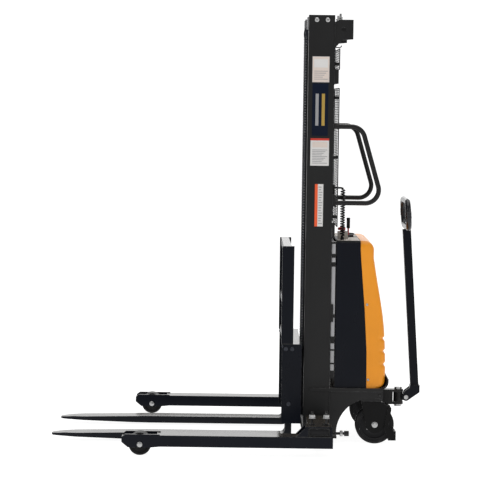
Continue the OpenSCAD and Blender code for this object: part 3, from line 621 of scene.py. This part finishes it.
def add_chain(bm, x, y, z_low, z_high):
    """Leaf chain: waisted plates laced four by three on pins, half an inch apart."""
    count = max(1, round((z_high - z_low) / 0.0127))
    pitch = (z_high - z_low) / count
    end, waist, plate = 0.0049, 0.0021, 0.0018
    for i in range(count):
        z = z_low + i * pitch
        shape = [(end * math.cos(t), pitch + end * math.sin(t)) for t in (math.pi * k / 6 for k in range(7))]
        shape += [(-waist, pitch / 2)]
        shape += [(end * math.cos(t), end * math.sin(t)) for t in (math.pi * (1 + k / 6) for k in range(7))]
        shape += [(waist, pitch / 2)]
        outline = [(x + u, min(max(z + v, z_low), z_high)) for u, v in shape]
        outline = [p for n, p in enumerate(outline) if p not in outline[:n]]
        for offset in ((-6.6, -2.2, 2.2, 6.6) if i % 2 else (-4.4, 0, 4.4)):
            centre = y + offset * MM
            add_plate(bm, outline, centre - plate / 2, centre + plate / 2)
    for i in range(1, count):
        z = z_low + i * pitch
        add_tube(bm, [(x, y - 0.0078, z), (x, y + 0.0078, z)], 0.0024, 8, 1)


def make_chains():
    for node, body, lift in (("front_chains", "inner_mast", True), ("rear_chains", "", False)):
        a, b = low(node), high(node)
        x = (a.x + b.x) / 2
        reach = b.y - 0.008
        bm = bmesh.new()
        for y in (-reach, reach):
            add_chain(bm, x, y, a.z, b.z)
        made = piece(node.replace("chains", "leaf_chains"), bm, ["chain", "zinc"], body, [node],
                     sharp=30)
        if lift:
            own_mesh(made)
        else:
            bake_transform(made)


def make_body_bolts():
    """Domed screws on the mast head, the deck sides and the power pack."""
    bm = bmesh.new()
    for _, side in SIDES:
        face = side * MAST_HALF
        for x in (0.334, 0.383):
            add_dome(bm, (x, face, 1.926), (0, side, 0), 0.0108, 0.0058)
        add_dome(bm, (0.646, face, 0.226), (0, side, 0), 0.006, 0.005, 1)
        for x, z in ((0.592, 0.296), (0.582, 0.640)):
            add_dome(bm, (x, side * PACK_HALF, z), (0, side, 0), 0.006, 0.004)
    piece("body_screws", bm, ["zinc", "black_paint"], "chassis", ["body_bolts"])


def make_mast_welds():
    """Beads where the cross members, the deck and the head meet the channels."""
    back = MAST_BACK + 0.001
    bm = bmesh.new()
    for bottom, top in ((1.640, 1.705), (1.085, 1.140), (0.560, 0.640)):
        for _, side in SIDES:
            for z in (bottom, top):
                add_weld(bm, (back, side * 0.246, z), (back, side * (MAST_HALF - 0.002), z))
            add_weld(bm, (back, side * MAST_HALF, bottom), (back, side * MAST_HALF, top))
    for _, side in SIDES:
        edge, proud = side * MAST_HALF, side * (MAST_HALF + 0.001)
        add_weld(bm, (back, edge, 0.045), (back, edge, 0.240))
        add_weld(bm, (back, edge, 1.803), (back, edge, 1.915))
        add_weld(bm, (MAST_BACK + 0.010, edge, 0.2425), (0.655, edge, 0.2425))
        add_weld(bm, (0.303, proud, 0.0385), (0.445, proud, 0.0385), 0.0022)
    piece("mast_welds", bm, "weld", "chassis")


# ---------- power pack ----------

COVER_EDGE = 0.030      # rounding of the shell's vertical and top edges
COVER_SKIN = 0.0035
COVER_GROOVES = (0.483, 0.425, 0.365)


def cover_outline():
    """(x, z) points up the back of the shell, round its top corner and forward along the top."""
    back = high("rear_cover").x
    front = low("rear_cover").x
    bottom = low("rear_cover").z
    rise = [(back - 0.023, bottom), (back - 0.008, bottom + 0.012), (back - 0.0005, bottom + 0.040),
            (back - 0.001, 0.400), (back - 0.006, 0.500), (back - 0.014, 0.580), (back - 0.027, 0.660),
            (back - 0.045, 0.760), (back - 0.060, 0.850)]
    curve = [(p.x, p.y) for p in smooth_curve([Vector((x, z, 0)) for x, z in rise], 20)]
    radius = 0.044
    centre = (curve[-1][0] - radius, PACK_TOP - radius)
    lean = 7
    corner = [(centre[0] + radius * math.cos(math.radians(t)), centre[1] + radius * math.sin(math.radians(t)))
              for t in range(lean, 91, 7)]
    gap = curve[-1][0] - corner[0][0]
    corner = [(x + gap * (1 - i / len(corner)), z) for i, (x, z) in enumerate(corner)]
    top = [(corner[-1][0] + (front - corner[-1][0]) * i / 8, PACK_TOP) for i in range(1, 9)]
    return curve, corner, top


def cover_front(z):
    """Where the shell's side meets the black side panel."""
    edge = [(0.258, 0.585), (0.427, 0.583), (0.610, 0.572), (0.800, 0.556), (0.880, 0.549), (0.930, 0.549)]
    for (z0, x0), (z1, x1) in zip(edge, edge[1:]):
        if z <= z1:
            return x0 + (x1 - x0) * max(0.0, (z - z0) / (z1 - z0))
    return edge[-1][1]


def groove(z):
    """Depth of the three level grooves near the foot of the shell."""
    depth = 0.0
    for centre in COVER_GROOVES:
        t = abs(z - centre) / 0.013
        depth += 0.0085 * math.cos(t * math.pi / 2) ** 2 if t < 1 else 0.0
    return depth


def make_rear_cover():
    back, corner, top = cover_outline()
    outline = back + corner + top
    bm = bmesh.new()
    steps = [i / 8 for i in range(9)]
    across = [-PACK_HALF + COVER_EDGE * (1 - math.cos(t * math.pi / 2)) for t in steps]
    flat = [(-1 + 2 * i / 24) * (PACK_HALF - COVER_EDGE) for i in range(1, 24)]
    across = across + flat + [-y for y in reversed(across)]
    rows = []
    for i, (x, z) in enumerate(outline):
        turn = math.pi / 2 * min(1, max(0, i - len(back)) / len(corner))
        inward = Vector((-math.cos(turn), -math.sin(turn)))
        row = []
        for y in across:
            over = max(0.0, abs(y) - (PACK_HALF - COVER_EDGE))
            inset = COVER_EDGE - math.sqrt(max(0.0, COVER_EDGE ** 2 - over ** 2))
            inset += groove(z) * (1.0 if i < len(back) else 0.0)
            p = Vector((x, z)) + inward * inset
            row.append(bm.verts.new((max(p.x, low("rear_cover").x), y, max(p.y, DECK_TOP))))
        rows.append(row)
    for a, b in zip(rows, rows[1:]):
        for k in range(len(across) - 1):
            bm.faces.new((a[k], a[k + 1], b[k + 1], b[k]))
    side_rows = len(back) + len(corner)
    for end in (0, -1):
        strips = []
        for row in rows[:side_rows]:
            rim = row[end]
            front = cover_front(rim.co.z)
            strips.append([rim] + [bm.verts.new((rim.co.x + (front - rim.co.x) * k / 6, rim.co.y, rim.co.z))
                                   for k in range(1, 7)])
        for a, b in zip(strips, strips[1:]):
            for k in range(6):
                bm.faces.new((a[k], a[k + 1], b[k + 1], b[k]))
    bmesh.ops.remove_doubles(bm, verts=bm.verts, dist=1e-5)
    thicken(bm, COVER_SKIN)
    piece("rear_shell", bm, "orange_cover", "chassis", ["rear_cover"], sharp=50)


def make_console():
    """What sits on the console: its light top, charge gauge, the switch box's sides and the stop's plate."""
    slots = ["black_plastic", "label_orange", "label_white", "label_red", "zinc", "console_top"]
    black, orange, white, red, zinc, light = range(6)
    top = high("rear_cover").z
    box_top = top + 0.034
    bm = bmesh.new()
    gauge = (0.515, 0.150, top)
    bezel = [(0, 0), (0.026, 0), (0.026, 0.006), (0.023, 0.009), (0.020, 0.009), (0.019, 0.006), (0, 0.006)]
    add_lathe(bm, bezel, gauge, (0, 0, 1), 40, black)
    face = [(0, 0.0062), (0.0185, 0.0062), (0.0185, 0.0068), (0, 0.0068)]
    add_lathe(bm, face, gauge, (0, 0, 1), 40, white)
    add_box(bm, (gauge[0] - 0.001, gauge[1] - 0.002, top + 0.0068),
            (gauge[0] + 0.001, gauge[1] + 0.014, top + 0.0074), material=red)
    for y0, y1 in ((0.008 - PACK_HALF, -0.030), (0.030, PACK_HALF - 0.008)):
        front_y1 = -0.192 if y0 < 0 else y1
        add_box(bm, (0.4955, y0, top), (0.545, y1, top + 0.0008), 0.0003, material=light)
        add_box(bm, (PACK_FRONT + 0.004, y0, top), (0.4955, front_y1, top + 0.0008), 0.0003, material=light)
    for x in (0.4494, 0.4940):
        add_box(bm, (x, -0.1906, top), (x + 0.0006, -0.1114, box_top), material=light)
    for y in (-0.1906, -0.1120):
        add_box(bm, (0.4494, y, top), (0.4946, y + 0.0006, box_top), material=light)
    stop = middle_of("emergency_stop")
    plate = [(0.0072, 0), (0.0155, 0), (0.0155, 0.0012), (0.0072, 0.0012)]
    add_lathe(bm, plate, (stop.x, stop.y, box_top), (0, 0, 1), 40, orange, closed=True)
    for y in (-0.250, 0.250):
        for x in (0.452, 0.533):
            add_dome(bm, (x, y, top), (0, 0, 1), 0.0055, 0.003, zinc)
    piece("console_fittings", bm, slots, "chassis")


def make_controls():
    """The stop button, the key and the lift handle."""
    top = PACK_TOP
    bm = bmesh.new()
    stop = middle_of("emergency_stop")
    dome = [(0, 0), (0.0058, 0), (0.0058, 0.032), (0.0168, 0.032), (0.0178, 0.034), (0.0178, 0.039)]
    dome += [(0.0178 * math.cos(t), 0.039 + 0.007 * math.sin(t))
             for t in (math.pi / 2 * i / 6 for i in range(1, 6))]
    add_lathe(bm, dome + [(0, 0.046)], (stop.x, stop.y, top + 0.010), (0, 0, 1), 40)
    piece("stop_button", bm, "red_plastic", "emergency_stop", ["emergency_stop"])

    bm = bmesh.new()
    key = joint_at("key_turn")
    add_lathe(bm, [(0, 0), (0.0048, 0), (0.0048, 0.026), (0.0085, 0.026), (0.0085, 0.030), (0, 0.030)],
              (key.x, key.y, top + 0.010), (0, 0, 1), 32)
    base = top + 0.038
    bow = arc((key.x, key.y, base + 0.011), 0.0088, -60, 240, 14)
    add_plate(bm, [(p.x, p.z) for p in bow] + [(key.x - 0.003, base), (key.x + 0.003, base)],
              key.y - 0.0011, key.y + 0.0011, 0.0004)
    piece("key", bm, "zinc", "key_switch", ["key_switch"])

    bm = bmesh.new()
    pivot = joint_at("lever_rock")
    add_tube(bm, line(pivot, pivot + Vector((0, 0, 0.055)), 0.01), 0.0040, 12, 0)
    add_tube(bm, [(pivot.x, -0.0098, pivot.z), (pivot.x, 0.0098, pivot.z)], 0.0068, 20, 0)
    grip = [(0, 0.045), (0.0068, 0.045), (0.0082, 0.048)]
    for i in range(8):
        grip += [(0.0086, 0.051 + i * 0.0045), (0.0077, 0.0532 + i * 0.0045)]
    grip += [(0.0089, 0.0885), (0.0087, 0.092), (0.0062, 0.0947), (0, 0.0950)]
    add_lathe(bm, grip, pivot, (0, 0, 1), 28, 1)
    piece("lift_handle", bm, ["red_plastic", "rubber"], "lift_lever", ["lift_lever"])


def make_loom():
    """The coiled lead from the console, whose upper end runs plain to its stand on the mast."""
    a, b = low("cable_loom"), high("cable_loom")
    coil, wire, turns = 0.0088, 0.0031, 20
    y = (a.y + b.y) / 2
    foot = Vector((b.x - 0.012, y, PACK_TOP + 0.012))
    head = Vector((b.x - 0.012, y, b.z - 0.008))
    path = []
    for i in range(turns * 16 + 1):
        turn = i / 16
        reach = coil * min(1, turn, turns - turn)
        angle = 2 * math.pi * turn
        around = Vector((reach * math.cos(angle), reach * math.sin(angle), 0))
        path.append(foot.lerp(head, turn / turns) + around)
    bm = bmesh.new()
    add_tube(bm, path, wire, 8)
    add_tube(bm, smooth_curve([head - Vector((0, 0, 0.006)), head + Vector((-0.005, 0, -0.001)),
                               head - Vector((0.014, 0, 0)), (a.x, y, head.z)], 6), 0.0042, 12)
    gland = [(0, 0), (0.0088, 0), (0.0088, 0.010), (0.0060, 0.0138), (0, 0.0138)]
    add_lathe(bm, gland, (foot.x, y, PACK_TOP), sides=6)
    piece("coiled_lead", bm, "rubber", "chassis", ["cable_loom"])


# ---------- wheels ----------

def make_load_wheels():
    for name, _ in SIDES:
        node = f"load_wheel_{name}"
        a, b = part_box(node)
        centre = (a + b) / 2
        r = (b.z - a.z) / 2
        hw = (b.y - a.y) / 2 - 0.003
        bore = 0.0085
        profile = [(bore, -hw - 0.003), (0.0155, -hw - 0.003), (0.016, -hw), (0.030, -hw + 0.001),
                   (0.031, -hw + 0.004), (0.038, -hw + 0.004), (0.039, -hw), (r - 0.003, -hw),
                   (r - 0.0008, -hw + 0.0015), (r, -hw + 0.004)]
        profile += [(q, -h) for q, h in reversed(profile)]
        bm = bmesh.new()
        add_lathe(bm, profile, centre, (0, 1, 0), 72, 0, closed=True)
        piece(f"load_roller_{name}", bm, "tyre", f"load_wheel_{name}", [node])


def make_rear_wheels():
    for name, _ in SIDES:
        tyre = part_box(f"rear_tyre_{name}")
        centre = (tyre[0] + tyre[1]) / 2
        r = (tyre[1].z - tyre[0].z) / 2
        hw = (tyre[1].y - tyre[0].y) / 2
        rim, bolt_circle = r - 0.0168, 0.036
        profile = [(rim, -hw + 0.001), (r - 0.006, -hw), (r - 0.002, -hw + 0.0015), (r, -hw + 0.006)]
        profile += [(r, -0.0065), (r - 0.0015, -0.006), (r - 0.0015, -0.005), (r, -0.0045)]
        profile += [(q, -h) for q, h in reversed(profile)]
        bm = bmesh.new()
        add_lathe(bm, profile, centre, (0, 1, 0), 96, 0, closed=True)
        piece(f"tread_{name}", bm, "tyre", f"rear_wheel_{name}", [f"rear_tyre_{name}"])

        bm = bmesh.new()
        face = [(0.0103, -hw - 0.0028), (0.0215, -hw - 0.0028), (0.022, -hw + 0.002), (0.030, -hw + 0.007),
                (0.050, -hw + 0.010), (rim - 0.010, -hw + 0.006), (rim - 0.008, -hw + 0.002),
                (rim - 0.0005, -hw + 0.0022)]
        face += [(q, -h) for q, h in reversed(face)]
        add_lathe(bm, face, centre, (0, 1, 0), 72, 0, closed=True)
        for k in range(5):
            t = 2 * math.pi * k / 5
            for s in (-1, 1):
                at = (centre.x + bolt_circle * math.cos(t), centre.y + s * (hw - 0.009),
                      centre.z + bolt_circle * math.sin(t))
                add_bolt(bm, at, (0, s, 0), 0.0045, 0.005, 1)
        piece(f"wheel_centre_{name}", bm, ["black_plastic", "zinc"], f"rear_wheel_{name}",
              [f"rear_wheel_{name}"])


def make_axle_details():
    """The load axles with a domed cap at each end, and the caster axles with a bolt head at each end."""
    cap = [(0, 0), (0.0118, 0), (0.0118, 0.0025), (0.0095, 0.0042), (0.005, 0.0049), (0, 0.0049)]
    for name, _ in SIDES:
        a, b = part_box(f"load_axle_{name}")
        centre = (a + b) / 2
        hw = (b.y - a.y) / 2
        bm = bmesh.new()
        add_tube(bm, [(centre.x, a.y + 0.004, centre.z), (centre.x, b.y - 0.004, centre.z)], 0.0080, 24)
        for s in (-1, 1):
            at = (centre.x, centre.y + s * (hw - 0.005), centre.z)
            add_lathe(bm, cap, at, (0, s, 0), 32)
        piece(f"load_pin_{name}", bm, "zinc", f"leg_{name}", [f"load_axle_{name}"])

        a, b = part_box(f"caster_axle_{name}")
        centre = (a + b) / 2
        hw = (b.y - a.y) / 2
        bm = bmesh.new()
        add_tube(bm, [(centre.x, a.y + 0.004, centre.z), (centre.x, b.y - 0.004, centre.z)], 0.0100, 24)
        for s in (-1, 1):
            at = (centre.x, centre.y + s * (hw - 0.005), centre.z)
            add_bolt(bm, at, (0, s, 0), 0.0095, 0.0062)
        piece(f"caster_bolt_{name}", bm, "zinc", f"caster_{name}", [f"caster_axle_{name}"])


# ---------- carriage, legs and forks ----------

def make_carriage_details():
    half = high("carriage_frame").y
    bm = bmesh.new()
    for _, side in SIDES:
        for x, z in ((0.214, 0.438), (0.243, 0.438), (0.230, 0.187)):
            add_dome(bm, (x, side * half, z), (0, side, 0), 0.0098, 0.005)
        add_dome(bm, (0.199, side * half, 0.448), (0, side, 0), 0.0045, 0.003)
    piece("carriage_screws", bm, "chain", "carriage")
    bm = bmesh.new()
    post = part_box("backrest")
    inner = half - 0.028
    for _, side in SIDES:
        for z in (0.905 - 0.032, 0.651 - 0.032, 0.651):
            add_weld(bm, (post[0].x + 0.008, side * inner, z), (post[1].x - 0.014, side * inner, z), 0.0024)
        proud = side * (half + 0.0002)
        add_weld(bm, (post[0].x + 0.002, proud, 0.4605), (post[1].x, proud, 0.4605), 0.002)
        for z in (0.619, 0.651):
            for y in (0.104, 0.122):
                add_weld(bm, (0.206, side * y, z), (0.222, side * y, z), 0.002)
    piece("carriage_welds", bm, "weld", "carriage")


def make_leg_details():
    for name, _ in SIDES:
        a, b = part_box(f"leg_{name}")
        bm = bmesh.new()
        top = 0.0912
        for y in (a.y + 0.0005, b.y - 0.0005):
            add_weld(bm, (0.301, y, top), (0.414, y, top), 0.0022)
            add_weld(bm, (0.262, y, top), (0.300, y, top), 0.0022)
        for y in (a.y + 0.0105, b.y - 0.0105):
            add_weld(bm, (-0.352, y, top), (-0.341, y, top), 0.002)
        add_weld(bm, (-0.352, a.y + 0.011, top), (-0.352, b.y - 0.011, top), 0.0022)
        piece(f"leg_welds_{name}", bm, "weld", f"leg_{name}")


def add_thread(bm, a, b, radius, material=0):
    """A threaded rod, its pitch coarse enough to catch the light."""
    add_tube(bm, line(a, b, 0.0009), radius, 14, material, ripple=lambda i: 1.0 if i % 2 else 0.86)


def add_nut(bm, at, direction, across, height, material=0):
    radius = across / math.sqrt(3)
    profile = [(0, 0), (radius * 0.9, 0), (radius, height * 0.12), (radius, height * 0.88),
               (radius * 0.9, height), (0, height)]
    add_lathe(bm, profile, at, direction, 6, material)


def make_clamps():
    """Each leg's two clamping screws with their nuts, and the stop screw on the end of its sleeve."""
    stop_z, sleeve_end = 0.102, 0.416
    tip = [(0, 0), (0.0058, 0), (0.0050, 0.008), (0, 0.008)]
    washer = [(0, 0), (0.0150, 0), (0.0150, 0.0025), (0, 0.0025)]
    boss = [(0, 0), (0.0078, 0), (0.0078, 0.012), (0, 0.012)]
    thin_washer = [(0, 0), (0.0125, 0), (0.0125, 0.002), (0, 0.002)]
    for name, _ in SIDES:
        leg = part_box(f"leg_{name}")
        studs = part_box(f"clamp_studs_{name}")
        y = (leg[0].y + leg[1].y) / 2
        top, end = leg[1].z, studs[1].x
        bm = bmesh.new()
        for x in (0.328, 0.390):
            add_thread(bm, (x, y, top), (x, y, studs[1].z - 0.008), 0.0058)
            add_lathe(bm, tip, (x, y, studs[1].z - 0.008), sides=16)
            add_nut(bm, (x, y, top), (0, 0, 1), 0.024, 0.010)
            add_lathe(bm, washer, (x, y, top + 0.031), sides=28, material=1)
            add_nut(bm, (x, y, top + 0.0335), (0, 0, 1), 0.022, 0.013, 1)
        add_thread(bm, (sleeve_end, y, stop_z), (end - 0.016, y, stop_z), 0.0066)
        add_lathe(bm, boss, (sleeve_end, y, stop_z), (1, 0, 0), 24)
        add_nut(bm, (sleeve_end + 0.034, y, stop_z), (1, 0, 0), 0.024, 0.013, 1)
        add_lathe(bm, thin_washer, (end - 0.021, y, stop_z), (1, 0, 0), 28)
        add_nut(bm, (end - 0.019, y, stop_z), (1, 0, 0), 0.022, 0.019)
        piece(f"clamp_screws_{name}", bm, ["black_paint", "zinc"], f"leg_{name}", [f"clamp_studs_{name}"])


def make_beam_plugs():
    """Plastic plugs in the open ends of the cross beams."""
    bm = bmesh.new()
    for _, side in SIDES:
        add_box(bm, (0.3163, side * 0.640, 0.1013), (0.3997, side * 0.6635, 0.1247), 0.0015)
    piece("beam_plugs", bm, "black_plastic", "chassis")


def make_head_details():
    """The chain anchors' threads and nuts on the head bar, and a hose hook on the right side."""
    top = high("mast_head").z
    bm = bmesh.new()
    for _, side in SIDES:
        x, y = 0.448, side * 0.115
        add_thread(bm, (x, y, top - 0.0755), (x, y, top - 0.0003), 0.0056)
        add_nut(bm, (x, y, top - 0.0340), (0, 0, 1), 0.0180, 0.0095)
        add_nut(bm, (x, y, top - 0.0230), (0, 0, 1), 0.0180, 0.0080)
    y = MAST_HALF - 0.006
    reaches = ((-0.001, 1.8185), (0.020, 1.8185), (0.044, 1.8180), (0.054, 1.8200), (0.057, 1.8275))
    hook = smooth_curve([(MAST_BACK + reach, y, z) for reach, z in reaches], 6)
    add_tube(bm, hook, 0.0026, 8, 1)
    piece("head_hardware", bm, ["zinc", "black_paint"], "chassis")


# ---------- tiller ----------

def make_tiller_details():
    """Ribbed sleeves on the sides of the hand loop."""
    a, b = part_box("tiller_loop")
    centre = (a + b) / 2
    lean = math.radians(3.8)
    up = Vector((-math.sin(lean), 0, math.cos(lean)))
    half_y = (b.y - a.y) / 2 - 0.013
    half_z = 0.150 / 2 - 0.013
    reach = half_z - 0.046
    bm = bmesh.new()
    for side in (-1, 1):
        foot = centre + Vector((0, side * half_y, 0)) - up * reach
        head = centre + Vector((0, side * half_y, 0)) + up * reach
        add_tube(bm, line(foot, head, 0.0022), 0.0136, 24, ripple=lambda i: 1.06 if i % 3 else 0.99)
    piece("hand_sleeves", bm, "grip", "tiller")


# ---------- materials on the CAD nodes that stay ----------

SLOT_OF = {s["node"]: s["material_slot"] for s in frame["record"]["subparts"]}


def dress_nodes():
    for name, node in NODES.items():
        key = SLOT_OF[name]
        if name.startswith("fork_"):
            key = "fork_paint"
        elif name.startswith(("caster_fork_", "brake_pedal_")):
            key = "deep_paint"
        elif name == "chain_pulleys":
            key = "chain"
        elif name == "tiller_loop":
            key = "grip"
        node.data.materials.clear()
        node.data.materials.append(MATERIALS[key])
        node.data.polygons.foreach_set("use_smooth", [True] * len(node.data.polygons))
        node.data.set_sharp_from_angle(angle=math.radians(28))


MATERIALS = make_materials()
make_camera()
make_studio()
dress_nodes()
make_labels()
make_mesh_guard()
make_chains()
make_body_bolts()
make_mast_welds()
make_rear_cover()
make_console()
make_controls()
make_loom()
make_load_wheels()
make_rear_wheels()
make_axle_details()
make_carriage_details()
make_leg_details()
make_clamps()
make_beam_plugs()
make_head_details()
make_tiller_details()
